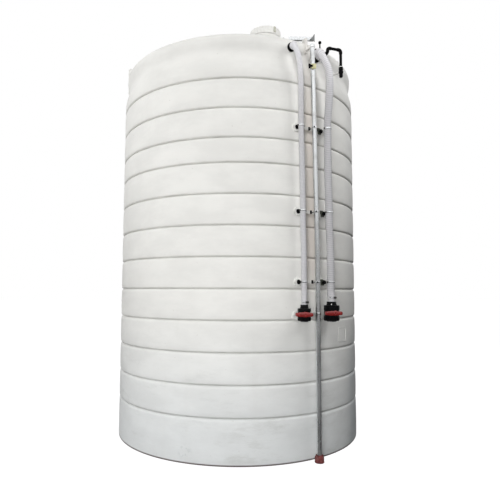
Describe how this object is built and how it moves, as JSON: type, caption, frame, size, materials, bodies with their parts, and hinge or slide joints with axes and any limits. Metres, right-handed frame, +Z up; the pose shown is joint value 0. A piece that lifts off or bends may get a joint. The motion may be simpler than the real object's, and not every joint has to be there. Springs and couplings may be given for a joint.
{
  "type": "vertical plastic storage tank with hose-fed valves",
  "caption": "Tall upright polyethylene liquid tank with grooved wall, hinged roof manway, fill hoses with ball valves, steel post and overflow pipe.",
  "frame": {"origin": "on the tank's axis, at the underside of its floor", "axes": "+Z up along the tank's axis; -Y is the side that carries the hoses and the post; +X to the right as seen from there"},
  "size_m": [2.55, 2.572, 4.345],
  "materials": {
    "shell": "satin off-white polyethylene, weathered",
    "lid": "satin off-white polyethylene",
    "steel": "bright, slightly dulled",
    "black_plastic": "black pipe plastic, light sheen",
    "red_plastic": "red moulded handle",
    "yellow_plastic": "translucent yellow clip",
    "oxide_red": "red-brown primer, rusty",
    "hose": "clear wire-reinforced hose, milky"
  },
  "bodies": {
    "root": {"tank_floor": "shell", "wall_segment_01": "shell", "wall_segment_02": "shell", "wall_segment_03": "shell", "wall_segment_04": "shell", "wall_segment_05": "shell", "wall_segment_06": "shell", "wall_segment_07": "shell", "wall_segment_08": "shell", "wall_segment_09": "shell", "wall_segment_10": "shell", "roof_segment_1": "shell", "roof_segment_2": "shell", "roof_segment_3": "shell", "roof_segment_4": "shell", "roof_segment_5": "shell", "roof_crown": "shell", "manway_neck": "shell", "manway_hinge_bracket": "steel", "lifting_lug_1": "shell", "lifting_lug_2": "shell", "lifting_lug_3": "shell", "left_inlet_fitting": "black_plastic", "right_inlet_fitting": "black_plastic", "left_hose": "hose", "right_hose": "hose", "left_valve_body": "black_plastic", "right_valve_body": "black_plastic", "steel_post": "steel", "post_foot_cap": "oxide_red", "post_clip": "yellow_plastic", "hose_bracket_1": "steel", "hose_bracket_2": "steel", "hose_bracket_3": "steel", "valve_bracket": "steel", "post_stay": "steel", "overflow_flange": "black_plastic", "overflow_pipe": "black_plastic", "overflow_sleeve": "black_plastic", "overflow_clip": "black_plastic", "vent_knob": "black_plastic"},
    "lid": {"manway_lid": "lid"},
    "left_handle": {"left_valve_handle": "red_plastic"},
    "right_handle": {"right_valve_handle": "red_plastic"}
  },
  "joints": [
    {"name": "manway_lid_hinge", "type": "hinge", "parent": "root", "child": "lid", "pos_m": [0.491, -0.3, 4.262], "axis": [0, 1, 0], "range_deg": [0, 100]},
    {"name": "left_valve_turn", "type": "hinge", "parent": "root", "child": "left_handle", "pos_m": [0.58115, -1.21297, 1.279], "axis": [0, -1, 0], "range_deg": [0, 90]},
    {"name": "right_valve_turn", "type": "hinge", "parent": "root", "child": "right_handle", "pos_m": [0.8503, -1.05757, 1.285], "axis": [0.2079, -0.9781, 0], "range_deg": [0, 90]}
  ]
}
